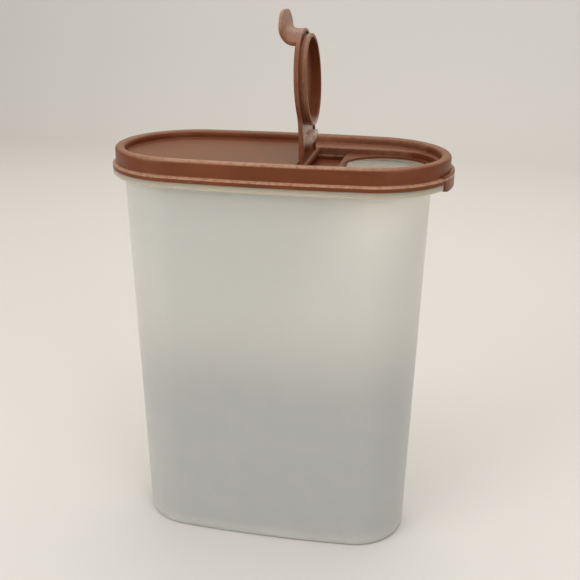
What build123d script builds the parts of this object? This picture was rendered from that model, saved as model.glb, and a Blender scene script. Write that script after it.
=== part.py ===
from build123d import *
from math import atan2, cos, degrees, radians, sin, tan
import os

# An oval dry-food container: a tapered tub, a press-on seal, and a flip cap that stands open.
# Millimetres. The origin is on the table, straight under the rim's middle; +X points to the pour end.

# Tub
base_length = 167.0
base_width = 69.0
side_bow = 1.8
flange_height = 228.0
draft = 1.2
wall = 1.8
floor_wall = 2.2
foot_width = 4.0
foot_depth = 1.2
base_rounding = 2.2
inside_rounding = 5.0

# Rim and flange; the tub's middle sits this much behind theirs, away from the pour end
tub_shift = 2.8
end_shoulder = 5.0
side_shoulder = 5.6
rim_wall = 1.9
rim_height = 9.7
rim_rounding = 0.6
flange_wall = 1.9
flange_lip_wall = 1.6
flange_lip_drop = 1.7
flange_rounding = 1.2
flange_root = 1.2
ledge_rounding = 1.0

# Seal
fit_gap = 0.3
skirt_wall = 1.8
crown_wall = 2.0
inner_wall = 1.5
inner_wall_depth = 10.6
crown_outer_rounding = 2.0
crown_inner_rounding = 2.6
bead_reach = 1.8
bead_height = 2.6
bead_rounding = 0.6
bead_root = 1.1
panel_depth = 4.6
panel_wall = 1.8
panel_root = 0.5
tray_wall = 1.4
tray_corner = 0.8
tray_edge = 0.9

# Lift tab, which hangs through a notch in the flange
tab_half_width = 20.0
tab_reach = 0.4
tab_wall = 2.0
tab_drop = 4.8
tab_rise = 4.2
tab_corner = 4.0
tab_edge = 0.6
tab_gap = 0.9

# Pour hole and plug ring
hole_radius = 24.7
plug_gap = 0.3
plug_wall = 1.6
plug_depth = 4.8
plug_bead = 0.4
plug_bead_height = 2.2
plug_rounding = 0.6

# Flip cap
cap_wall = 1.5
cap_skirt = 1.0
cap_skirt_wall = 1.5
cap_sink = 0.5
cap_brim = 2.7
pocket_gap = 0.4
pocket_end_margin = 1.5
seat_gap = 0.3
leaf_half_width = 20.0
neck_rounding = 9.0
cap_edge = 0.6
open_angle = 93.0

# Hinge: a round bar with a thin pin at each end, and a block that fills the well
bar_radius = 2.2
bar_end_gap = 0.3
heel_gap = 0.45
pin_radius = 1.4
pin_length = 3.0
pin_gap = 0.08
pin_end_gap = 0.4
socket_wall = 1.6
block_half_width = 8.0
block_length = 15.9
block_drop = 2.2
stop_length = 12.0
block_foot = 5.4
block_slope = 45.0
block_rounding = 11.0
well_front_gap = 1.7
well_floor_gap = 0.6
bridge = 1.8

# Thumb lip
lip_foot = 0.9
lip_straight = 0.1
lip_bend = 8.0
lip_wall = 1.9
lip_reach = 10.1
lip_half_width = 17.0
lip_corner = 13.0
lip_edge = 0.6

# Reaches from the rim's outer face
skirt_inside = fit_gap
skirt_outside = skirt_inside + skirt_wall
bead_outside = skirt_outside + bead_reach
flange_outside = bead_outside
tab_outside = bead_outside + tab_reach
tab_inside = tab_outside - tab_wall
rim_inside = -rim_wall
inner_wall_outside = rim_inside - fit_gap
crown_inside = inner_wall_outside - inner_wall

# Heights
flange_under = flange_height - flange_wall
flange_bottom = flange_under - flange_lip_drop
floor_top = foot_depth + floor_wall
bead_top = flange_height + bead_height
groove_top = flange_height + rim_height + fit_gap
crown_top = groove_top + crown_wall
inner_wall_end = crown_top - inner_wall_depth
panel_top = crown_top - panel_depth
panel_under = panel_top - panel_wall
hinge_height = panel_top - bar_radius
pocket_floor = panel_top - cap_sink - cap_wall - cap_skirt - seat_gap
pocket_under = pocket_floor - tray_wall
block_bottom = -bar_radius - block_drop
well_floor = hinge_height + block_bottom - well_floor_gap
well_under = well_floor - tray_wall

# The rim's plan, which grows out of the tub's plan at the flange
body_growth = flange_under * tan(radians(draft))
rim_length = base_length + 2 * (body_growth + end_shoulder)
rim_width = base_width + 2 * (body_growth + side_shoulder)

# Places along the seal
plug_radius = hole_radius - plug_gap
plug_neck = plug_radius - plug_bead
cap_radius = plug_radius + cap_brim
pocket_radius = cap_radius + pocket_gap
hole_x = rim_length / 2 + crown_inside - pocket_end_margin - pocket_radius
well_front = hole_x - hole_radius - bridge
hinge_x = well_front - well_front_gap - block_length
well_back = hinge_x - bar_radius - heel_gap
hinge_reach = hole_x - hinge_x

# Hinge along Y
bar_end = pocket_radius - bar_end_gap
pin_end = bar_end + pin_length
socket_radius = pin_radius + pin_gap
socket_end = pin_end + pin_end_gap
boss_end = socket_end + socket_wall
boss_reach = socket_radius + socket_wall

# Heights on the cap, from the hinge axis towards its outer face
cap_face = bar_radius - cap_sink
plate_bottom = cap_face - cap_wall
lip_top = cap_face + lip_foot + lip_straight + lip_bend
lip_under = lip_top - lip_wall

# Places along the cap, from the hinge axis to its tip
block_ramp = block_length - block_foot + (block_bottom - plate_bottom) / tan(radians(block_slope))
lip_tip = hinge_reach + cap_radius + lip_reach
riser_outside = hinge_reach + cap_radius
riser_inside = riser_outside - lip_wall
brim_end = lip_tip + lip_half_width

# The open cap's planes: X runs from the hinge to the tip, and the leaf plane faces out of the cap
lean = radians(open_angle - 90)
hinge_point = (hinge_x, 0, hinge_height)
toward_tip = (-sin(lean), 0, cos(lean))
outward = (-cos(lean), 0, -sin(lean))
leaf = Plane(origin=hinge_point, x_dir=toward_tip, z_dir=outward)
profile = Plane(origin=hinge_point, x_dir=toward_tip, z_dir=(0, -1, 0))
disc_axis = Axis(leaf.from_local_coords((hinge_reach, 0, 0)), outward)

# How far a selector looks either side of a height
near = 0.01


class Oval(BaseSketchObject):
    """A long oval of four arcs: two round ends, and two long sides that bow out a little."""

    def __init__(self, length, width, mode=Mode.ADD):
        end_radius = width / 2 - side_bow
        end_x = length / 2 - end_radius
        side_radius = (end_x**2 + (width / 2) ** 2 - end_radius**2) / (2 * side_bow)
        side_y = side_radius - width / 2
        join = degrees(atan2(side_y, end_x))
        with BuildSketch() as oval:
            with BuildLine():
                CenterArc((end_x, 0), end_radius, -join, 2 * join)
                CenterArc((0, -side_y), side_radius, join, 180 - 2 * join)
                CenterArc((-end_x, 0), end_radius, 180 - join, 2 * join)
                CenterArc((0, side_y), side_radius, 180 + join, 180 - 2 * join)
            make_face()
        super().__init__(obj=oval.sketch, mode=mode)


class BodyOval(Oval):
    """The tub's plan at a height, moved in by an inset."""

    def __init__(self, height, inset=0.0, mode=Mode.ADD):
        grow = height * tan(radians(draft)) - inset
        super().__init__(base_length + 2 * grow, base_width + 2 * grow, mode)


class RimOval(Oval):
    """The rim's outer plan, moved out by a reach."""

    def __init__(self, reach=0.0, mode=Mode.ADD):
        super().__init__(rim_length + 2 * reach, rim_width + 2 * reach, mode)


class TabStrip(BaseSketchObject):
    """A strip of the rim's plan at the pour end, between two reaches, as wide as the lift tab."""

    def __init__(self, inside, outside, gap=0.0, mode=Mode.ADD):
        with BuildSketch() as strip:
            RimOval(outside)
            RimOval(inside, mode=Mode.SUBTRACT)
            with Locations((rim_length / 2, 0)):
                Rectangle(rim_length, 2 * (tab_half_width + gap), mode=Mode.INTERSECT)
        super().__init__(obj=strip.sketch, mode=mode)


class Pocket(BaseSketchObject):
    """The recess under the cap: straight sides from the hinge, round about the pour hole."""

    def __init__(self, grow=0.0, mode=Mode.ADD):
        back = well_back - grow
        with BuildSketch() as pocket:
            with Locations((hole_x, 0)):
                Circle(pocket_radius + grow)
            with Locations(((back + hole_x) / 2, 0)):
                Rectangle(hole_x - back, 2 * (pocket_radius + grow))
            fillet(pocket.vertices().group_by(Axis.X)[0], tray_corner + grow)
        super().__init__(obj=pocket.sketch, mode=mode)


class Well(BaseSketchObject):
    """The deeper well that takes the hinge bar and the block."""

    def __init__(self, grow=0.0, mode=Mode.ADD):
        with BuildSketch() as well:
            with Locations(((well_back + well_front) / 2, 0)):
                Rectangle(well_front - well_back + 2 * grow, 2 * (pocket_radius + grow))
            fillet(well.vertices(), tray_corner + grow)
        super().__init__(obj=well.sketch, mode=mode)


class Leaf(BaseSketchObject):
    """The cap's outline: a disc and the neck that joins it to the hinge, moved in by an inset."""

    def __init__(self, inset=0.0, mode=Mode.ADD):
        with BuildSketch() as outline:
            with Locations((hinge_reach, 0)):
                Circle(cap_radius - inset)
            with Locations((hinge_reach / 2, 0)):
                Rectangle(hinge_reach, 2 * (leaf_half_width - inset))
            fillet(outline.vertices().group_by(Axis.X)[1], neck_rounding + inset)
        super().__init__(obj=outline.sketch, mode=mode)


with BuildPart() as container:
    # Flange with a lip that hangs from its edge and a notch for the lift tab
    with BuildSketch(Plane.XY.offset(flange_bottom)):
        RimOval(flange_outside)
    extrude(amount=flange_height - flange_bottom)
    fillet(container.faces().sort_by(Axis.Z)[0].edges(), flange_rounding)
    with BuildSketch(Plane.XY.offset(flange_bottom)):
        RimOval(flange_outside - flange_lip_wall)
    extrude(amount=flange_lip_drop, mode=Mode.SUBTRACT)
    with BuildSketch(Plane.XY.offset(flange_bottom)):
        TabStrip(tab_inside - tab_gap, tab_outside + tab_gap, tab_gap)
    extrude(amount=flange_height - flange_bottom, mode=Mode.SUBTRACT)

    # Tapered tub and upright rim, both solid at first
    with BuildSketch():
        with Locations((-tub_shift, 0)):
            BodyOval(0)
    extrude(amount=flange_under, taper=-draft)
    fillet(container.edges().group_by(Axis.Z)[0], base_rounding)
    underside = container.faces().filter_by_position(Axis.Z, flange_under - near, flange_under + near)
    fillet(underside[0].inner_wires()[0].edges(), flange_root)
    with BuildSketch(Plane.XY.offset(flange_height)):
        RimOval()
    extrude(amount=rim_height)
    fillet(container.faces().sort_by(Axis.Z)[-1].edges(), rim_rounding)

    # Hollow of the tub, hollow of the rim, and the recess inside the foot
    with BuildSketch(Plane.XY.offset(floor_top)):
        with Locations((-tub_shift, 0)):
            BodyOval(floor_top, wall)
    extrude(amount=flange_height - floor_top, taper=-draft, mode=Mode.SUBTRACT)
    with BuildSketch(Plane.XY.offset(flange_height)):
        RimOval(rim_inside)
    extrude(amount=rim_height, mode=Mode.SUBTRACT)
    ledge = container.faces(Select.LAST).filter_by(Plane.XY).sort_by(Axis.Z)[0]
    fillet(ledge.inner_wires()[0].edges(), ledge_rounding)
    floor = container.faces().filter_by_position(Axis.Z, floor_top - near, floor_top + near)
    fillet(floor[0].edges(), inside_rounding)
    with BuildSketch():
        with Locations((-tub_shift, 0)):
            BodyOval(0, base_rounding + foot_width)
    extrude(amount=foot_depth, mode=Mode.SUBTRACT)
container.part.label = "container"

with BuildPart() as lift_tab:
    # Strip of the bead with round lower corners and soft outer edges
    with BuildSketch(Plane.XY.offset(flange_height - tab_drop)):
        TabStrip(tab_inside, tab_outside)
    extrude(amount=tab_drop + tab_rise)
    fillet(lift_tab.edges().filter_by(Axis.X).group_by(Axis.Z)[0], tab_corner)
    fillet(lift_tab.faces().sort_by(Axis.X)[-1].edges(), tab_edge)

with BuildPart() as seal:
    # Bead that rests on the flange, the skirt above it, and the lift tab
    with BuildSketch(Plane.XY.offset(flange_height)):
        RimOval(bead_outside)
    extrude(amount=bead_height)
    fillet(seal.faces().sort_by(Axis.Z)[-1].edges(), bead_rounding)
    with BuildSketch(Plane.XY.offset(flange_height)):
        RimOval(skirt_outside)
    extrude(amount=crown_top - flange_height)
    shoulder = seal.faces().filter_by_position(Axis.Z, bead_top - near, bead_top + near)
    fillet(shoulder[0].inner_wires()[0].edges(), bead_root)
    fillet(seal.faces().sort_by(Axis.Z)[-1].edges(), crown_outer_rounding)
    add(lift_tab.part)

    # Groove that takes the rim, with the inner wall inside it
    with BuildSketch(Plane.XY.offset(flange_height)):
        RimOval(skirt_inside)
    extrude(amount=groove_top - flange_height, mode=Mode.SUBTRACT)
    with BuildSketch(Plane.XY.offset(inner_wall_end)):
        RimOval(inner_wall_outside)
    extrude(amount=groove_top - inner_wall_end)
    with BuildSketch(Plane.XY.offset(inner_wall_end)):
        RimOval(crown_inside)
    extrude(amount=panel_under - inner_wall_end, mode=Mode.SUBTRACT)
    with BuildSketch(Plane.XY.offset(panel_top)):
        RimOval(crown_inside)
    extrude(amount=crown_top - panel_top, mode=Mode.SUBTRACT)
    fillet(seal.faces().sort_by(Axis.Z)[-1].inner_wires()[0].edges(), crown_inner_rounding)

    # Trays of the pocket and the well under the panel, and the hinge bosses
    with BuildSketch(Plane.XY.offset(pocket_under)):
        Pocket(tray_wall)
    extrude(amount=panel_under - pocket_under)
    with BuildSketch(Plane.XY.offset(well_under)):
        Well(tray_wall)
    extrude(amount=pocket_under - well_under)
    with BuildSketch(Plane.XY.offset(hinge_height - boss_reach)):
        with Locations((hinge_x, 0)):
            Rectangle(2 * boss_reach, 2 * boss_end)
    extrude(amount=panel_under - hinge_height + boss_reach)

    # Pocket, well, pour hole and the sockets for the pins
    with BuildSketch(Plane.XY.offset(pocket_floor)):
        Pocket()
    extrude(amount=panel_top - pocket_floor, mode=Mode.SUBTRACT)
    with BuildSketch(Plane.XY.offset(well_floor)):
        Well()
    extrude(amount=pocket_floor - well_floor, mode=Mode.SUBTRACT)
    with BuildSketch(Plane.XY.offset(pocket_under)):
        with Locations((hole_x, 0)):
            Circle(hole_radius)
    extrude(amount=tray_wall, mode=Mode.SUBTRACT)
    with BuildSketch(profile):
        Circle(socket_radius)
    extrude(amount=socket_end, both=True, mode=Mode.SUBTRACT)

    # Roundings of the panel's foot and of the pocket's edge
    panel = seal.faces().filter_by_position(Axis.Z, panel_top - near, panel_top + near)
    fillet(panel[0].outer_wire().edges(), panel_root)
    panel = seal.faces().filter_by_position(Axis.Z, panel_top - near, panel_top + near)
    fillet(panel[0].inner_wires()[0].edges(), tray_edge)
seal.part.label = "seal"

with BuildPart() as thumb_lip:
    # A brim with an S-shaped section, turned about the disc's axis and trimmed to a tongue
    with BuildSketch(profile):
        with BuildLine():
            under = FilletPolyline(
                (riser_outside, plate_bottom),
                (riser_outside, lip_under),
                (brim_end, lip_under),
                radius=lip_bend - lip_wall,
            )
            over = FilletPolyline(
                (hinge_reach, cap_face),
                (riser_inside, cap_face),
                (riser_inside, lip_top),
                (brim_end, lip_top),
                radius=[lip_foot, lip_bend],
            )
            Line(under @ 1, over @ 1)
            Polyline(over @ 0, (hinge_reach, plate_bottom), under @ 0)
        make_face()
    revolve(axis=disc_axis)
    with BuildSketch(leaf) as tongue:
        with Locations(((hinge_reach + lip_tip) / 2, 0)):
            Rectangle(lip_tip - hinge_reach, 2 * lip_half_width)
        fillet(tongue.vertices().group_by(Axis.X)[-1], lip_corner)
    extrude(amount=lip_top, both=True, mode=Mode.INTERSECT)
    tip_edges = thumb_lip.edges().group_by(Axis(hinge_point, toward_tip))[-1]
    fillet(tip_edges, lip_edge)

with BuildPart() as flip_cap:
    # Plate with a low skirt round its edge, and the thumb lip at its tip
    with BuildSketch(leaf.offset(cap_face)):
        Leaf()
    extrude(amount=-cap_wall - cap_skirt)
    fillet(flip_cap.faces().sort_by(Axis(hinge_point, outward))[-1].edges(), cap_edge)
    with BuildSketch(leaf.offset(plate_bottom)):
        Leaf(cap_skirt_wall)
    extrude(amount=-cap_skirt, mode=Mode.SUBTRACT)
    add(thumb_lip.part)

    # Plug ring with a rounded snap bead at its end
    with BuildSketch(leaf.offset(plate_bottom)):
        with Locations((hinge_reach, 0)):
            Circle(plug_neck)
            Circle(plug_neck - plug_wall, mode=Mode.SUBTRACT)
    extrude(amount=-plug_depth)
    with BuildSketch(leaf.offset(plate_bottom - plug_depth)):
        with Locations((hinge_reach, 0)):
            Circle(plug_radius)
            Circle(plug_neck - plug_wall / 2, mode=Mode.SUBTRACT)
    extrude(amount=plug_bead_height)
    ring_end = flip_cap.faces().sort_by(Axis(hinge_point, outward))[0]
    fillet(ring_end.edges(), plug_rounding)

    # Wedge on the neck's foot that meets the well's back edge when the cap is open
    with BuildSketch(profile):
        with BuildLine():
            Polyline(
                (0, plate_bottom),
                (0, bar_radius),
                (stop_length, cap_face),
                (stop_length, plate_bottom),
                close=True,
            )
        make_face()
    extrude(amount=leaf_half_width, both=True)

    # Hinge bar, pins and block
    with BuildSketch(profile):
        Circle(bar_radius)
    extrude(amount=bar_end, both=True)
    with BuildSketch(profile):
        Circle(pin_radius)
    extrude(amount=pin_end, both=True)
    with BuildSketch(profile) as block:
        with BuildLine():
            Polyline(
                (block_length, plate_bottom),
                (block_length, block_bottom),
                (block_length - block_foot, block_bottom),
                (block_ramp, plate_bottom),
                close=True,
            )
        make_face()
        heel = block.vertices().sort_by_distance((block_length - block_foot, block_bottom))[0]
        fillet(heel, block_rounding)
    extrude(amount=block_half_width, both=True)
flip_cap.part.label = "flip_cap"

os.makedirs("parts", exist_ok=True)
export_step(container.part, "parts/container.step")
export_step(seal.part, "parts/seal.step")
export_step(flip_cap.part, "parts/flip_cap.step")
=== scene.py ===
"""Looks of an oval dry-food keeper: a milky tub, a brown press-on seal and a flip cap that stands open."""

import logging
import math
from dataclasses import dataclass
from enum import Enum
from typing import Any

import bmesh
import bpy
from mathutils import Matrix, Vector


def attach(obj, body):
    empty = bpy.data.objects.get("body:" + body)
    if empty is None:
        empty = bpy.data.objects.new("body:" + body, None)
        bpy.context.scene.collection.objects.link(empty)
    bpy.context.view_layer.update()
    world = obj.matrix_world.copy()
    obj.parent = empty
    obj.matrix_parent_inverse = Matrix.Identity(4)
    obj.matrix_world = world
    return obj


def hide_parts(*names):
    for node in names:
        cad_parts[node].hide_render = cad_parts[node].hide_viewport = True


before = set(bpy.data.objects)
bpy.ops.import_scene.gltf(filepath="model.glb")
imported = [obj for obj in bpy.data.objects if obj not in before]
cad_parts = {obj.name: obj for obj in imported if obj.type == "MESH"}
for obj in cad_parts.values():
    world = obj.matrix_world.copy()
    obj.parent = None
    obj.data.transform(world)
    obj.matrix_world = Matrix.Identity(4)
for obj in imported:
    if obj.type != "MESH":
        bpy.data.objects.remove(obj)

LOG = logging.getLogger("keeper")
MM = 0.001
RIM_MARK = "on_rim"
WIDTH_MARK = "width"
# Marks where the flange's painted shade goes.
FLANGE_SHADE_MARK = "flange"
# Marks where the painted light inside the tub goes.
INSIDE_LIGHT_MARK = "inside"
NOISE_MIDDLE = 0.5
Colour = tuple[float, float, float]
Point = tuple[float, float, float]
Edges = tuple[float, float]
EVEN = (1.0, 1.0, 1.0)


def srgb(red: int, green: int, blue: int) -> Colour:
    """Turns a colour as it is seen on a screen into linear light.

    Args:
        red: Red, 0 to 255.
        green: Green, 0 to 255.
        blue: Blue, 0 to 255.

    Returns:
        The same colour in linear light, 0 to 1.
    """
    def linear(level: int) -> float:
        """Returns one channel in linear light."""
        value = level / 255
        return value / 12.92 if value <= 0.04045 else ((value + 0.055) / 1.055) ** 2.4
    return linear(red), linear(green), linear(blue)


# Pale tone of the scratches, which are wear, and of the painted highlights and painted light.
WEAR_AND_HIGHLIGHT = srgb(176, 138, 112)


class Body(Enum):
    """The bodies of the frame."""

    TUB = "container"
    SEAL = "seal"
    CAP = "flip_cap"


@dataclass(frozen=True)
class Noise:
    """A noise pattern.

    Attributes:
        scale: Waves to a metre.
        detail: Octaves.
        roughness: How strong the small octaves are.
        stretch: How much the pattern is squeezed along each axis.
    """

    scale: float
    detail: float = 2.0
    roughness: float = 0.5
    stretch: Point = EVEN


class Scalar:
    """A number in a node tree; arithmetic on it adds Math nodes."""

    def __init__(self, tree: "Tree", socket: bpy.types.NodeSocket) -> None:
        """Wraps an output socket of the tree."""
        self.tree = tree
        self.socket = socket

    def math(self, operation: str, *values: Any) -> "Scalar":
        """Adds one Math node.

        Args:
            operation: The node's operation.
            values: Its operands in order, numbers or scalars.

        Returns:
            The node's result.
        """
        node = self.tree.node("ShaderNodeMath", {"operation": operation}, dict(enumerate(values)))
        return Scalar(self.tree, node.outputs[0])

    def alone(self, operation: str) -> "Scalar":
        """Returns what one Math node makes of self alone."""
        return self.math(operation, self)

    def __add__(self, other: Any) -> "Scalar":
        """Returns self + other."""
        return self.math("ADD", self, other)

    def __radd__(self, other: Any) -> "Scalar":
        """Returns other + self."""
        return self.math("ADD", other, self)

    def __sub__(self, other: Any) -> "Scalar":
        """Returns self - other."""
        return self.math("SUBTRACT", self, other)

    def __rsub__(self, other: Any) -> "Scalar":
        """Returns other - self."""
        return self.math("SUBTRACT", other, self)

    def __mul__(self, other: Any) -> "Scalar":
        """Returns self * other."""
        return self.math("MULTIPLY", self, other)

    def __rmul__(self, other: Any) -> "Scalar":
        """Returns other * self."""
        return self.math("MULTIPLY", other, self)

    def __truediv__(self, other: Any) -> "Scalar":
        """Returns self / other."""
        return self.math("DIVIDE", self, other)

    def pick(self, low: Any, high: Any) -> "Scalar":
        """Returns low where self is 0 and high where it is 1."""
        return low + self * (high - low)

    def step(self, low: float, high: float) -> "Scalar":
        """Rises smoothly from 0 at low to 1 at high, or falls where high is below low.

        Args:
            low: The value that gives 0.
            high: The value that gives 1.

        Returns:
            The smooth step.
        """
        rises = low < high
        inputs = {
            "Value": self,
            "From Min": min(low, high),
            "From Max": max(low, high),
            "To Min": 0.0 if rises else 1.0,
            "To Max": 1.0 if rises else 0.0,
        }
        node = self.tree.node("ShaderNodeMapRange", {"interpolation_type": "SMOOTHSTEP"}, inputs)
        return Scalar(self.tree, node.outputs[0])


class Tree:
    """A node tree with one way to add a node.

    The Mix node's colour sockets share their names with others, so they go by number.
    """

    MIX_FACTOR = 0
    MIX_LOW = 6
    MIX_HIGH = 7
    MIX_RESULT = 2

    def __init__(self, tree: bpy.types.NodeTree) -> None:
        """Empties the tree and keeps it."""
        self.tree = tree
        tree.nodes.clear()

    def node(self, kind: str, settings: dict[str, Any] | None = None,
             inputs: dict[int | str, Any] | None = None) -> bpy.types.Node:
        """Adds a node, sets it, and then fills its sockets.

        Args:
            kind: The node's type.
            settings: The node's own properties by name.
            inputs: Values or links by socket name or number.

        Returns:
            The new node.
        """
        node = self.tree.nodes.new(kind)
        for name, value in (settings or {}).items():
            setattr(node, name, value)
        for key, value in (inputs or {}).items():
            socket = node.inputs[key]
            if isinstance(value, Scalar):
                value = value.socket
            if isinstance(value, bpy.types.NodeSocket):
                self.tree.links.new(value, socket)
            elif isinstance(value, tuple) and len(value) == 3 and socket.type == "RGBA":
                socket.default_value = (*value, 1.0)
            else:
                socket.default_value = value
        return node

    def place(self) -> tuple[bpy.types.NodeSocket, Scalar, Scalar, Scalar]:
        """Returns the point in the frame, in metres, and its three parts."""
        point = self.node("ShaderNodeTexCoord").outputs["Object"]
        parts = self.node("ShaderNodeSeparateXYZ", None, {0: point})
        return point, *(Scalar(self, part) for part in parts.outputs)

    def mark(self, name: str) -> Scalar:
        """Returns a number stored on the mesh under a name."""
        return Scalar(self, self.node("ShaderNodeAttribute", {"attribute_name": name}).outputs["Fac"])

    def noise(self, point: Any, noise: Noise) -> Scalar:
        """Adds a noise texture in the frame's own space.

        Args:
            point: The point it is read at.
            noise: The pattern.

        Returns:
            The noise, near NOISE_MIDDLE on average.
        """
        if noise.stretch != EVEN:
            point = self.node("ShaderNodeMapping", None, {"Vector": point, "Scale": noise.stretch}).outputs[0]
        inputs = {"Vector": point, "Scale": noise.scale, "Detail": noise.detail, "Roughness": noise.roughness}
        return Scalar(self, self.node("ShaderNodeTexNoise", None, inputs).outputs[0])

    def blend(self, factor: Any, low: Any, high: Any) -> bpy.types.NodeSocket:
        """Mixes two colours.

        Args:
            factor: 0 gives low and 1 gives high.
            low: A colour.
            high: A colour.

        Returns:
            The mixed colour.
        """
        inputs = {self.MIX_FACTOR: factor, self.MIX_LOW: low, self.MIX_HIGH: high}
        return self.node("ShaderNodeMix", {"data_type": "RGBA"}, inputs).outputs[self.MIX_RESULT]

    def bump(self, height: Any, distance: float, strength: float, normal: Any = None) -> bpy.types.NodeSocket:
        """Adds a bump.

        Args:
            height: The height, 0 to 1.
            distance: How far a height of 1 stands out, in metres.
            strength: How much of the bump is used.
            normal: A bump under this one.

        Returns:
            The bent normal.
        """
        inputs = {"Height": height, "Distance": distance, "Strength": strength}
        if normal is not None:
            inputs["Normal"] = normal
        return self.node("ShaderNodeBump", None, inputs).outputs[0]

    def finish(self, uniform: dict[str, Any], varied: dict[str, Any]) -> None:
        """Ends the tree in one plastic shader.

        Args:
            uniform: Values that are the same all over.
            varied: Links that change over the surface.
        """
        shader = self.node("ShaderNodeBsdfPrincipled", None, {**uniform, **varied})
        self.node("ShaderNodeOutputMaterial", None, {"Surface": shader.outputs[0]})


@dataclass(frozen=True)
class TubFinish:
    """Milky polypropylene: lets some light in, satin outside, with painted light and shade that make it paler
    high up and greyer low down, a painted shade on the flange and painted light inside.
    """

    name: str = "milky_polypropylene"
    # Painted light and shade: paler high up and greyer low down.
    high: Colour = srgb(226, 217, 197)
    low: Colour = srgb(179, 178, 172)
    cloud: Colour = srgb(215, 206, 187)
    # Painted shade: the flange's outer face is darker, as under the seal's bead.
    flange: Colour = srgb(146, 138, 123)
    # Painted light: the inside is paler, though it lies in shade under the seal.
    inside: Colour = srgb(242, 234, 218)
    low_height: float = 96 * MM
    high_height: float = 172 * MM
    drift: float = 14 * MM
    drift_noise: Noise = Noise(14.0)
    cloud_noise: Noise = Noise(60.0, 3.0, 0.6)
    cloud_edges: Edges = (0.35, 0.75)
    cloud_share: float = 0.08
    scuff_noise: Noise = Noise(160.0, 4.0, 0.6, (1.0, 1.0, 0.12))
    scuff_edges: Edges = (0.55, 0.75)
    wave_noise: Noise = Noise(24.0, 1.0, 0.4, (1.0, 1.0, 0.35))
    wave_depth: float = 0.35 * MM
    wave_strength: float = 0.6
    grain_noise: Noise = Noise(1500.0)
    grain_depth: float = 0.012 * MM
    grain_strength: float = 0.5
    roughness: float = 0.36
    scuff_roughness: float = 0.10
    cloud_roughness: float = 0.06
    light_index: float = 1.49
    gloss_level: float = 0.4
    glow_depth: float = 17 * MM
    glow_tint: Colour = (1.0, 0.95, 0.88)

    def material(self) -> bpy.types.Material:
        """Builds the material.

        Returns:
            The material for the tub.
        """
        material = bpy.data.materials.new(self.name)
        material.use_nodes = True
        tree = Tree(material.node_tree)
        point, _, _, height = tree.place()
        # Painted light and shade: paler high up, greyer low down, with a wavering edge between.
        drift = tree.noise(point, self.drift_noise) * self.drift
        level = (height + drift).step(self.low_height, self.high_height)
        tone = tree.blend(level, self.low, self.high)
        clouds = tree.noise(point, self.cloud_noise).step(*self.cloud_edges)
        tone = tree.blend(clouds * self.cloud_share, tone, self.cloud)
        # Painted shade on the flange's outer face.
        tone = tree.blend(tree.mark(FLANGE_SHADE_MARK), tone, self.flange)
        # Painted light inside the tub, which lies in shade under the seal.
        tone = tree.blend(tree.mark(INSIDE_LIGHT_MARK), tone, self.inside)
        scuffs = tree.noise(point, self.scuff_noise).step(*self.scuff_edges)
        gloss = self.roughness + self.scuff_roughness * scuffs + self.cloud_roughness * clouds
        waves = tree.noise(point, self.wave_noise)
        grain = tree.noise(point, self.grain_noise)
        normal = tree.bump(waves, self.wave_depth, self.wave_strength)
        normal = tree.bump(grain, self.grain_depth, self.grain_strength, normal)
        uniform = {
            "IOR": self.light_index,
            "Subsurface Weight": 1.0,
            "Subsurface Radius": self.glow_tint,
            "Subsurface Scale": self.glow_depth,
            "Specular IOR Level": self.gloss_level,
        }
        tree.finish(uniform, {"Base Color": tone, "Roughness": gloss, "Normal": normal})
        return material


@dataclass(frozen=True)
class PaintedLightAndWear:
    """A box of the surface painted lighter: its corners and its soft margins, in mm. Most boxes are painted
    highlights and painted light; the block end's is also wear.
    """

    low: Point
    high: Point
    margin: Point
    strength: float
    tone: Colour = WEAR_AND_HIGHLIGHT

    def mask(self, parts: tuple[Scalar, ...]) -> Scalar:
        """Returns how strongly a point is painted lighter.

        Args:
            parts: The point's three parts, in metres.

        Returns:
            The strength, 0 outside the box.
        """
        share: Any = self.strength
        for part, low, high, margin in zip(parts, self.low, self.high, self.margin):
            share = part.step((low - margin) * MM, low * MM) * share
            share = share * part.step((high + margin) * MM, high * MM)
        return share


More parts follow.
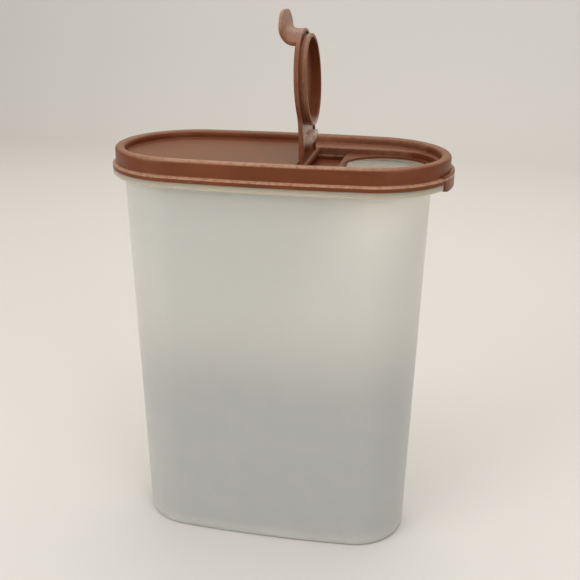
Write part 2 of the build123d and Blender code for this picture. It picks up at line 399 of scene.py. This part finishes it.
@dataclass(frozen=True)
class LidFinish:
    """Soft brown polyethylene with a fine grain, light scratches, and boxes painted lighter as painted
    highlights and painted light, one also with wear.
    """

    name: str
    # Boxes painted lighter: painted highlights and painted light, and in one place wear.
    painted_light_and_wear: tuple[PaintedLightAndWear, ...]
    brown: Colour = srgb(102, 51, 27)
    deep: Colour = srgb(92, 44, 22)
    sheen: Colour = (1.0, 0.85, 0.62)
    mottle_noise: Noise = Noise(45.0, 4.0, 0.55)
    mottle_edges: Edges = (0.3, 0.7)
    mottle_depth: float = 0.10 * MM
    mottle_strength: float = 0.5
    scratch_noise: Noise = Noise(240.0, 6.0, 0.7, (0.2, 1.0, 1.0))
    scratch_edges: Edges = (0.63, 0.72)
    scratch_share: float = 0.22
    patch_noise: Noise = Noise(420.0, 3.0, 0.6)
    patch_edges: Edges = (0.0, 0.7)
    grain_noise: Noise = Noise(1300.0)
    grain_depth: float = 0.02 * MM
    grain_strength: float = 0.6
    roughness: float = 0.36
    mottle_roughness: float = 0.12
    scratch_roughness: float = 0.12
    light_index: float = 1.5
    gloss_level: float = 0.3

    def material(self) -> bpy.types.Material:
        """Builds the material.

        Returns:
            The material for the seal or the cap.
        """
        material = bpy.data.materials.new(self.name)
        material.use_nodes = True
        tree = Tree(material.node_tree)
        point, *parts = tree.place()
        mottle = tree.noise(point, self.mottle_noise)
        tone = tree.blend(mottle.step(*self.mottle_edges), self.deep, self.brown)
        scratches = tree.noise(point, self.scratch_noise).step(*self.scratch_edges)
        tone = tree.blend(scratches * self.scratch_share, tone, WEAR_AND_HIGHLIGHT)
        # Painted highlights and painted light, with some wear, in the lighter boxes, broken into patches.
        patches = tree.noise(point, self.patch_noise).step(*self.patch_edges)
        for lighter_box in self.painted_light_and_wear:
            tone = tree.blend(lighter_box.mask(parts) * patches, tone, lighter_box.tone)
        gloss = (self.roughness + self.mottle_roughness * (mottle - NOISE_MIDDLE)
                 + self.scratch_roughness * scratches)
        grain = tree.noise(point, self.grain_noise)
        normal = tree.bump(grain, self.grain_depth, self.grain_strength)
        normal = tree.bump(mottle, self.mottle_depth, self.mottle_strength, normal)
        uniform = {
            "IOR": self.light_index,
            "Specular IOR Level": self.gloss_level,
            "Specular Tint": (*self.sheen, 1.0),
        }
        tree.finish(uniform, {"Base Color": tone, "Roughness": gloss, "Normal": normal})
        return material


def make_plain(piece: bpy.types.Object) -> None:
    """Turns what a piece's modifiers make into its own plain mesh, with its normals outward.

    Args:
        piece: The piece.
    """
    graph = bpy.context.evaluated_depsgraph_get()
    mesh = bpy.data.meshes.new_from_object(piece.evaluated_get(graph), depsgraph=graph)
    piece.modifiers.clear()
    piece.data = mesh
    shape = bmesh.new()
    shape.from_mesh(mesh)
    bmesh.ops.recalc_face_normals(shape, faces=shape.faces)
    if shape.calc_volume(signed=True) < 0:
        bmesh.ops.reverse_faces(shape, faces=shape.faces)
    shape.to_mesh(mesh)
    shape.free()


def bake_nodes(piece: bpy.types.Object, group: bpy.types.NodeTree, inputs: dict[str, Any]) -> None:
    """Runs a geometry tree on a piece and keeps the result as its plain mesh.

    Args:
        piece: The piece, whose mesh is the tree's first input.
        group: The tree.
        inputs: The values of the tree's named inputs.
    """
    modifier = piece.modifiers.new(group.name, "NODES")
    modifier.node_group = group
    for item in group.interface.items_tree:
        if item.item_type == "SOCKET" and item.in_out == "INPUT" and item.name in inputs:
            modifier[item.identifier] = inputs[item.name]
    make_plain(piece)


@dataclass(frozen=True)
class Plan:
    """A long oval of four arcs, symmetric about both axes, and where its middle is."""

    half_length: float
    half_width: float
    bow: float
    middle: float = 0.0

    @property
    def end_radius(self) -> float:
        """Returns the radius of the round ends."""
        return self.half_width - self.bow

    def end_point(self, reach: float, across: float) -> Vector:
        """Finds a point on the end that faces the pour hole.

        Args:
            reach: How far outside the plan the point lies.
            across: Its distance from the long axis.

        Returns:
            The point, at height 0.
        """
        radius = self.end_radius + reach
        along = math.sqrt(radius**2 - across**2)
        return Vector((self.middle + self.half_length - self.end_radius + along, across, 0.0))


@dataclass(frozen=True)
class Level:
    """One ring of the tub's wall.

    Attributes:
        reach: How far it lies outside its plan.
        height: Its height.
        on_rim: Whether its plan is the rim's, and not the base's.
        shut: Whether it is shut to a line on the long axis.
    """

    reach: float
    height: float
    on_rim: bool = False
    shut: bool = False


class Section:
    """The tub's section as a run of levels, with round corners."""

    def __init__(self) -> None:
        """Starts an empty run."""
        self.levels: list[Level] = []

    def to(self, reach: float, height: float, on_rim: bool = False, shut: bool = False) -> "Section":
        """Adds a sharp corner and returns the run."""
        self.levels.append(Level(reach, height, on_rim, shut))
        return self

    def bend(self, corner: Level, onward: Level, radius: float, steps: int) -> "Section":
        """Rounds a corner between the last level and the next one.

        Args:
            corner: The sharp corner.
            onward: The level that follows it.
            radius: The rounding's radius.
            steps: Faces along the rounding.

        Returns:
            The run.
        """
        last = self.levels[-1]
        point = Vector((corner.reach, corner.height))
        inward = (Vector((last.reach, last.height)) - point).normalized()
        outward = (Vector((onward.reach, onward.height)) - point).normalized()
        half_angle = inward.angle(outward) / 2
        middle = point + (inward + outward).normalized() * radius / math.sin(half_angle)
        start = point + inward * radius / math.tan(half_angle) - middle
        turn = start.angle_signed(point + outward * radius / math.tan(half_angle) - middle)
        for i in range(steps + 1):
            spot = middle + Matrix.Rotation(-turn * i / steps, 2) @ start
            self.to(spot.x, spot.y, corner.on_rim)
        return self

    def climb(self, end: Level, steps: int) -> "Section":
        """Adds even levels on the straight way to a point, without the point itself.

        Args:
            end: Where the way leads.
            steps: Faces along the way.

        Returns:
            The run.
        """
        start = self.levels[-1]
        for i in range(1, steps):
            share = i / steps
            self.to(start.reach + share * (end.reach - start.reach),
                    start.height + share * (end.height - start.height), end.on_rim)
        return self


@dataclass
class Tub:
    """The tapered tub with its rim flange and upright rim, swept from its section by a node tree."""

    finish: TubFinish = TubFinish()
    base_half_length: float = 83.5 * MM
    base_half_width: float = 34.5 * MM
    bow: float = 1.8 * MM
    middle: float = -2.8 * MM
    draft: float = math.radians(1.2)
    wall: float = 1.8 * MM
    floor_wall: float = 2.2 * MM
    foot_width: float = 4.0 * MM
    foot_depth: float = 1.2 * MM
    base_rounding: float = 2.2 * MM
    inside_rounding: float = 5.0 * MM
    flange_height: float = 228.0 * MM
    flange_wall: float = 1.9 * MM
    flange_lip_wall: float = 1.6 * MM
    flange_lip_drop: float = 1.7 * MM
    flange_rounding: float = 1.2 * MM
    flange_root: float = 1.2 * MM
    flange_reach: float = 3.86 * MM
    end_shoulder: float = 5.0 * MM
    side_shoulder: float = 5.6 * MM
    rim_wall: float = 1.9 * MM
    rim_height: float = 9.7 * MM
    rim_rounding: float = 0.6 * MM
    ledge_rounding: float = 1.0 * MM
    notch_half_width: float = 20.9 * MM
    notch_reach: float = 1.4 * MM
    notch_rows: int = 24
    waviness: float = 0.10 * MM
    wave_noise: Noise = Noise(20.0)
    wave_foot: Edges = (12 * MM, 40 * MM)
    wave_head: Edges = (215 * MM, 190 * MM)
    merge_distance: float = 0.002 * MM
    arcs: int = 4
    steps_on_arc: int = 56
    wall_steps: int = 40
    bend_steps: int = 6
    seed: int = 7
    sharp: float = math.radians(32)

    def grown(self, height: float) -> float:
        """Returns how far the draft has moved the wall out at a height."""
        return height * math.tan(self.draft)

    @property
    def base_plan(self) -> Plan:
        """Returns the plan of the base."""
        return Plan(self.base_half_length, self.base_half_width, self.bow, self.middle)

    @property
    def rim_plan(self) -> Plan:
        """Returns the plan of the rim."""
        grown = self.grown(self.flange_height - self.flange_wall)
        return Plan(self.base_half_length + grown + self.end_shoulder,
                    self.base_half_width + grown + self.side_shoulder, self.bow)

    def section(self) -> list[Level]:
        """Works out the section from under the base, up the outside, and down the inside to the floor.

        Returns:
            The levels in order.
        """
        middle = -self.base_plan.end_radius
        under = self.flange_height - self.flange_wall
        lip = under - self.flange_lip_drop
        top = self.flange_height + self.rim_height
        floor = self.foot_depth + self.floor_wall
        inset = self.base_rounding + self.foot_width
        lip_inside = self.flange_reach - self.flange_lip_wall
        run = Section()
        run.to(middle, self.foot_depth, shut=True).to(middle, self.foot_depth)
        run.to(-inset, self.foot_depth).to(-inset, 0.0)
        wall_top = Level(self.grown(under), under)
        run.bend(Level(0.0, 0.0), wall_top, self.base_rounding, self.bend_steps)
        run.climb(Level(self.grown(under - self.flange_root), under - self.flange_root), self.wall_steps)
        run.bend(wall_top, Level(wall_top.reach + self.side_shoulder, under),
                 self.flange_root, self.bend_steps)
        run.to(lip_inside, under, True).to(lip_inside, lip, True)
        run.bend(Level(self.flange_reach, lip, True), Level(self.flange_reach, self.flange_height, True),
                 self.flange_rounding, self.bend_steps)
        run.to(self.flange_reach, self.flange_height, True).to(0.0, self.flange_height, True)
        run.bend(Level(0.0, top, True), Level(-self.rim_wall, top, True), self.rim_rounding, self.bend_steps)
        run.bend(Level(-self.rim_wall, top, True), Level(-self.rim_wall, self.flange_height, True),
                 self.rim_rounding, self.bend_steps)
        run.to(-self.rim_wall, self.flange_height, True)
        inner_top = Level(self.grown(self.flange_height) - self.wall, self.flange_height)
        inner_foot = Level(self.grown(floor) - self.wall, floor)
        ledge = Level(inner_top.reach + self.ledge_rounding, self.flange_height)
        run.to(ledge.reach, ledge.height)
        run.bend(inner_top, inner_foot, self.ledge_rounding, self.bend_steps)
        run.climb(Level(self.grown(floor + self.inside_rounding) - self.wall, floor + self.inside_rounding),
                  self.wall_steps)
        run.bend(inner_foot, Level(middle, floor), self.inside_rounding, self.bend_steps)
        run.to(middle, floor).to(middle, floor, shut=True)
        return run.levels

    def sweep(self) -> bpy.types.NodeTree:
        """Builds the node tree that sweeps the section round the two plans.

        Returns:
            The tree, with the sizes as named inputs.
        """
        group = bpy.data.node_groups.new("sweep_tub", "GeometryNodeTree")
        names = {"Profile": "Geometry", "Steps On Arc": "Int", "Base Half Length": "Float",
                 "Base Half Width": "Float", "Rim Half Length": "Float", "Rim Half Width": "Float",
                 "Bow": "Float", "Middle": "Float", "Waviness": "Float", "Seed": "Int", "Finish": "Material"}
        for name, kind in names.items():
            group.interface.new_socket(name=name, in_out="INPUT", socket_type=f"NodeSocket{kind}")
        group.interface.new_socket(name="Tub", in_out="OUTPUT", socket_type="NodeSocketGeometry")
        tree = Tree(group)
        given = tree.node("NodeGroupInput").outputs
        size = {name: Scalar(tree, given[name]) for name in names if names[name] in ("Int", "Float")}

        profile = given["Profile"]
        domain = tree.node("GeometryNodeAttributeDomainSize", None, {0: profile})
        count = Scalar(tree, domain.outputs["Point Count"])
        columns = size["Steps On Arc"] * self.arcs
        grid = tree.node("GeometryNodeMeshGrid", None, {
            "Size X": count - 1, "Size Y": columns, "Vertices X": count, "Vertices Y": columns + 1})
        position = tree.node("GeometryNodeInputPosition").outputs[0]
        spot = tree.node("ShaderNodeSeparateXYZ", None, {0: position})
        level = (Scalar(tree, spot.outputs[0]) + (count - 1) / 2).alone("ROUND")
        column = (Scalar(tree, spot.outputs[1]) + columns / 2).alone("ROUND")

        def read(kind: str, value: Any) -> bpy.types.Node:
            """Reads a value of the profile at this level."""
            return tree.node("GeometryNodeSampleIndex", {"data_type": kind, "domain": "POINT"},
                             {"Geometry": profile, "Value": value, "Index": level})

        def attribute(name: str) -> Scalar:
            """Reads a named number of the profile at this level."""
            named = tree.node("GeometryNodeInputNamedAttribute", {"data_type": "FLOAT"}, {"Name": name})
            return Scalar(tree, read("FLOAT", named.outputs["Attribute"]).outputs[0])

        place = read("FLOAT_VECTOR", position)
        parts = tree.node("ShaderNodeSeparateXYZ", None, {0: place.outputs[0]}).outputs
        reach, height = Scalar(tree, parts[0]), Scalar(tree, parts[2])
        on_rim, width = attribute(RIM_MARK), attribute(WIDTH_MARK)

        arc = (column / size["Steps On Arc"]).alone("FLOOR")
        share = column / size["Steps On Arc"] - arc
        side = arc.math("MODULO", arc, 2.0)
        half_length = on_rim.pick(size["Base Half Length"], size["Rim Half Length"])
        half_width = on_rim.pick(size["Base Half Width"], size["Rim Half Width"])
        end_radius = half_width - size["Bow"]
        end = half_length - end_radius
        side_radius = (end * end + half_width * half_width - end_radius * end_radius) / (size["Bow"] * 2)
        join = arc.math("ARCTAN2", side_radius - half_width, end)
        span = side.pick(join, math.pi / 2 - join)
        quarter = arc * (math.pi / 2)
        angle = quarter + (share * 2 - 1) * span
        radius = side.pick(end_radius, side_radius) + reach
        cosine, sine = angle.alone("COSINE"), angle.alone("SINE")
        along = quarter.alone("COSINE") * end + radius * cosine + (1 - on_rim) * size["Middle"]
        across = radius * sine - quarter.alone("SINE") * (side_radius - half_width)
        smooth = tree.node("ShaderNodeCombineXYZ", None, {0: along + size["Seed"], 1: across, 2: height})
        on_wall = height.step(*self.wave_foot) * height.step(*self.wave_head)
        sink = size["Waviness"] * tree.noise(smooth.outputs[0], self.wave_noise) * on_wall
        spot = tree.node("ShaderNodeCombineXYZ", None,
                         {0: along - sink * cosine, 1: (across - sink * sine) * width, 2: height})
        marked = grid.outputs["Mesh"]
        for name in (FLANGE_SHADE_MARK, INSIDE_LIGHT_MARK):
            marked = tree.node("GeometryNodeStoreNamedAttribute", {"data_type": "FLOAT", "domain": "POINT"},
                               {"Geometry": marked, "Name": name, "Value": attribute(name)}).outputs[0]
        moved = tree.node("GeometryNodeSetPosition", None, {"Geometry": marked, "Position": spot.outputs[0]})
        merged = tree.node("GeometryNodeMergeByDistance", None,
                           {0: moved.outputs[0], "Distance": self.merge_distance})
        real = tree.node("GeometryNodeRealizeInstances", None, {0: merged.outputs[0]})
        dressed = tree.node("GeometryNodeSetMaterial", None,
                            {0: real.outputs[0], "Material": given["Finish"]})
        tree.node("NodeGroupOutput", None, {0: dressed.outputs[0]})
        return group

    def shell(self) -> bpy.types.Object:
        """Sweeps the wall as a closed plain mesh.

        Returns:
            The tub without its notch.
        """
        levels = self.section()
        mouth = max(i for i, level in enumerate(levels) if level.on_rim)
        profile = bpy.data.meshes.new("tub_profile")
        profile.from_pydata([(level.reach, 0.0, level.height) for level in levels], [], [])
        # Marks along the section, among them where the flange's painted shade and the inside's painted light
        # go.
        for name, values in ((RIM_MARK, [float(level.on_rim) for level in levels]),
                             (FLANGE_SHADE_MARK, [float(level.on_rim and level.reach > 0) for level in levels]),
                             (INSIDE_LIGHT_MARK, [float(i > mouth) for i in range(len(levels))]),
                             (WIDTH_MARK, [float(not level.shut) for level in levels])):
            profile.attributes.new(name, "FLOAT", "POINT").data.foreach_set("value", values)
        tub = bpy.data.objects.new("milky_tub", profile)
        bpy.context.scene.collection.objects.link(tub)
        base, rim = self.base_plan, self.rim_plan
        sizes = {"Steps On Arc": self.steps_on_arc, "Base Half Length": base.half_length,
                 "Base Half Width": base.half_width, "Rim Half Length": rim.half_length,
                 "Rim Half Width": rim.half_width, "Bow": self.bow, "Middle": self.middle,
                 "Waviness": self.waviness, "Seed": self.seed, "Finish": self.finish.material()}
        bake_nodes(tub, self.sweep(), sizes)
        return tub

    def notch(self) -> bpy.types.Object:
        """Builds the block that cuts the flange's notch for the lift tab.

        Returns:
            The cutter.
        """
        rim = self.rim_plan
        past = 2 * self.flange_reach
        across = [self.notch_half_width * (2 * i / self.notch_rows - 1) for i in range(self.notch_rows + 1)]
        outline = [rim.end_point(self.notch_reach, y) for y in across]
        outline += [rim.end_point(past, y) for y in reversed(across)]
        bottom = Vector((0.0, 0.0, self.flange_height - past))
        made = bmesh.new()
        face = made.faces.new([made.verts.new(point + bottom) for point in outline])
        lifted = bmesh.ops.extrude_face_region(made, geom=[face])["geom"]
        risen = [item for item in lifted if isinstance(item, bmesh.types.BMVert)]
        bmesh.ops.translate(made, verts=risen, vec=(0.0, 0.0, past + self.flange_reach))
        bmesh.ops.recalc_face_normals(made, faces=made.faces)
        mesh = bpy.data.meshes.new("notch")
        made.to_mesh(mesh)
        made.free()
        cutter = bpy.data.objects.new("notch", mesh)
        bpy.context.scene.collection.objects.link(cutter)
        return cutter

    def build(self) -> list[bpy.types.Object]:
        """Builds the tub and sets it in the container's place.

        Returns:
            The pieces made.
        """
        tub = self.shell()
        cutter = self.notch()
        cut = tub.modifiers.new("notch", "BOOLEAN")
        cut.operation, cut.solver, cut.object = "DIFFERENCE", "EXACT", cutter
        make_plain(tub)
        bpy.data.objects.remove(cutter)
        tub.data.shade_smooth()
        tub.data.set_sharp_from_angle(angle=self.sharp)
        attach(tub, Body.TUB.value)
        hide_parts(Body.TUB.value)
        return [tub]


@dataclass
class Moulding:
    """A brown moulding whose solid is shown as it is, in its own finish."""

    body: Body
    finish: LidFinish

    def build(self) -> list[bpy.types.Object]:
        """Dresses the moulding.

        Returns:
            The pieces dressed.
        """
        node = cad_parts[self.body.value]
        node.material_slots[0].material = self.finish.material()
        return [node]


# Seal: painted highlights along the near crest, the whole crest and the bead shoulder, painted sheen on the
# lift tab and the panel, and painted light on the far inner wall, which lies in shade.
NEAR_CREST_HIGHLIGHT = PaintedLightAndWear((-40.0, -60.0, 239.1), (30.0, 0.0, 240.5), (60.0, 30.0, 0.7), 0.5)
CREST_HIGHLIGHT = PaintedLightAndWear((-200.0, -200.0, 239.3), (200.0, 200.0, 240.5), (1.0, 1.0, 0.5), 0.16)
BEAD_SHOULDER_HIGHLIGHT = PaintedLightAndWear((-200.0, -200.0, 230.2), (200.0, 200.0, 230.8), (1.0, 1.0, 0.5), 0.8)
LIFT_TAB_SHEEN = PaintedLightAndWear((95.5, -22.0, 222.0), (99.0, 22.0, 233.0), (1.0, 2.0, 1.0), 0.22)
PANEL_SHEEN = PaintedLightAndWear((-80.0, -30.0, 235.3), (0.0, 30.0, 235.5), (30.0, 10.0, 0.3), 0.05)
FAR_WALL_LIGHT = PaintedLightAndWear((20.0, 26.0, 231.0), (90.0, 50.0, 239.0), (20.0, 2.0, 1.0), 0.2)


@dataclass
class Seal(Moulding):
    """The press-on seal."""

    body: Body = Body.SEAL
    finish: LidFinish = LidFinish("brown_seal_polyethylene", (
        NEAR_CREST_HIGHLIGHT, CREST_HIGHLIGHT, BEAD_SHOULDER_HIGHLIGHT, LIFT_TAB_SHEEN, PANEL_SHEEN, FAR_WALL_LIGHT))


# Cap: painted light on the block end, whose pale tone is also stress-whitening wear; painted light on the
# plug ring, in the shade of the plate's rim, and on the near edge; a painted highlight on the thumb lip.
BLOCK_END_WEAR_AND_LIGHT = PaintedLightAndWear((15.5, -14.0, 247.5), (22.0, 14.0, 251.0), (1.0, 5.0, 7.0), 0.75, srgb(232, 208, 192))
PLUG_RING_LIGHT = PaintedLightAndWear((16.5, -30.0, 262.0), (22.0, 0.0, 296.0), (0.8, 10.0, 10.0), 0.2)
NEAR_EDGE_LIGHT = PaintedLightAndWear((5.0, -40.0, 240.0), (16.2, -16.0, 310.0), (1.0, 6.0, 20.0), 0.12)
THUMB_LIP_HIGHLIGHT = PaintedLightAndWear((-100.0, -100.0, 309.0), (100.0, 100.0, 316.0), (1.0, 1.0, 12.0), 0.5)


@dataclass
class FlipCap(Moulding):
    """The flip cap."""

    body: Body = Body.CAP
    finish: LidFinish = LidFinish("brown_cap_polyethylene", (
        BLOCK_END_WEAR_AND_LIGHT, PLUG_RING_LIGHT, NEAR_EDGE_LIGHT, THUMB_LIP_HIGHLIGHT))


@dataclass(frozen=True)
class Lamp:
    """A soft box: where it stands, what it points at, its size and its power."""

    name: str
    place: Point
    aim: Point
    size: tuple[float, float]
    power: float
    colour: Colour


@dataclass
class Studio:
    """Floor, backdrop, lamps, air and camera."""

    floor_colour: Colour = srgb(200, 197, 192)
    high_colour: Colour = srgb(186, 174, 148)
    high_edges: Edges = (0.3, 0.55)
    fibre_colour: Colour = (0.6, 0.6, 0.6)
    fibre_noise: Noise = Noise(300.0, 3.0)
    fibre_share: float = 0.04
    paper_roughness: float = 0.8
    air_colour: Colour = (1.0, 0.99, 0.97)
    air_strength: float = 0.5
    half_width: float = 3.0
    front: float = -2.0
    back: float = 1.1
    bend: float = 0.6
    bend_steps: int = 24
    top: float = 2.6
    azimuth: float = 11.0
    elevation: float = 21.0
    roll: float = 0.4
    focal: float = 845.6
    frame_pixels: float = 580.0
    sensor: float = 36.0
    clip_start: float = 0.01
    eye: Point = (96.322 * MM, -464.344 * MM, 335.530 * MM)
    lamps: tuple[Lamp, ...] = (
        Lamp("key", (-1.2, -1.2, 0.7), (0.0, 0.0, 0.2), (1.2, 1.2), 15.0, (1.0, 0.985, 0.96)),
        Lamp("fill", (1.3, -1.3, 0.7), (0.0, 0.0, 0.15), (1.2, 1.2), 11.0, (0.98, 0.985, 1.0)),
        Lamp("top", (0.1, 0.0, 1.7), (0.0, 0.0, 0.2), (2.4, 1.6), 24.0, (1.0, 0.985, 0.96)),
        Lamp("back", (-0.1, 0.95, 0.95), (0.0, 0.0, 0.2), (1.6, 0.4), 3.0, (1.0, 0.97, 0.92)),
    )

    def build(self) -> None:
        """Builds the studio."""
        self.sweep()
        for lamp in self.lamps:
            self.lamp(lamp)
        self.camera()
        world = bpy.data.worlds.new("studio_air")
        bpy.context.scene.world = world
        world.use_nodes = True
        tree = Tree(world.node_tree)
        inputs = {"Color": self.air_colour, "Strength": self.air_strength}
        light = tree.node("ShaderNodeBackground", None, inputs)
        tree.node("ShaderNodeOutputWorld", None, {"Surface": light.outputs[0]})
        bpy.context.scene.view_settings.view_transform = "Standard"

    def sweep(self) -> None:
        """Builds a floor that bends up into a backdrop."""
        turns = [math.pi / 2 * i / self.bend_steps for i in range(1, self.bend_steps + 1)]
        path = [(self.front, 0.0), (self.back, 0.0)]
        path += [(self.back + self.bend * math.sin(turn), self.bend * (1 - math.cos(turn))) for turn in turns]
        path.append((self.back + self.bend, self.top))
        points = [(side * self.half_width, y, z) for y, z in path for side in (-1, 1)]
        faces = [(2 * i, 2 * i + 1, 2 * i + 3, 2 * i + 2) for i in range(len(path) - 1)]
        mesh = bpy.data.meshes.new("sweep")
        mesh.from_pydata(points, [], faces)
        mesh.polygons.foreach_set("use_smooth", [True] * len(faces))
        sweep = bpy.data.objects.new("sweep", mesh)
        bpy.context.scene.collection.objects.link(sweep)
        material = bpy.data.materials.new("pale_paper")
        material.use_nodes = True
        tree = Tree(material.node_tree)
        point, _, _, height = tree.place()
        fibre = tree.noise(point, self.fibre_noise)
        tone = tree.blend(fibre * self.fibre_share, self.floor_colour, self.fibre_colour)
        tone = tree.blend(height.step(*self.high_edges), tone, self.high_colour)
        tree.finish({"Roughness": self.paper_roughness}, {"Base Color": tone})
        mesh.materials.append(material)

    def lamp(self, lamp: Lamp) -> None:
        """Builds one soft box.

        Args:
            lamp: What it is.
        """
        data = bpy.data.lights.new(lamp.name, "AREA")
        data.shape = "RECTANGLE"
        data.size, data.size_y = lamp.size
        data.energy = lamp.power
        data.color = lamp.colour
        light = bpy.data.objects.new(lamp.name, data)
        light.location = lamp.place
        light.rotation_euler = (Vector(lamp.aim) - Vector(lamp.place)).to_track_quat("-Z", "Y").to_euler()
        bpy.context.scene.collection.objects.link(light)

    def camera(self) -> None:
        """Sets the camera at the photograph's place and angle."""
        azimuth, elevation, roll = (math.radians(a) for a in (self.azimuth, self.elevation, self.roll))
        back = Vector((math.sin(azimuth) * math.cos(elevation),
                       -math.cos(azimuth) * math.cos(elevation), math.sin(elevation)))
        level = Vector((math.cos(azimuth), math.sin(azimuth), 0.0))
        upright = back.cross(level)
        right = math.cos(roll) * level + math.sin(roll) * upright
        above = math.cos(roll) * upright - math.sin(roll) * level
        data = bpy.data.cameras.new("camera")
        data.sensor_width = self.sensor
        data.lens = self.focal / self.frame_pixels * self.sensor
        data.clip_start = self.clip_start
        camera = bpy.data.objects.new("camera", data)
        turn = Matrix((right, above, back)).transposed()
        camera.matrix_world = Matrix.Translation(self.eye) @ turn.to_4x4()
        bpy.context.scene.collection.objects.link(camera)
        bpy.context.scene.camera = camera


def main() -> None:
    """Builds the whole scene and notes its size."""
    logging.basicConfig(level=logging.INFO, format="%(name)s: %(message)s")
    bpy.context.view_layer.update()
    Studio().build()
    for assembly in (Tub(), Seal(), FlipCap()):
        for piece in assembly.build():
            LOG.info("%s: %d faces", piece.name, len(piece.data.polygons))


if __name__ == "__main__":
    main()
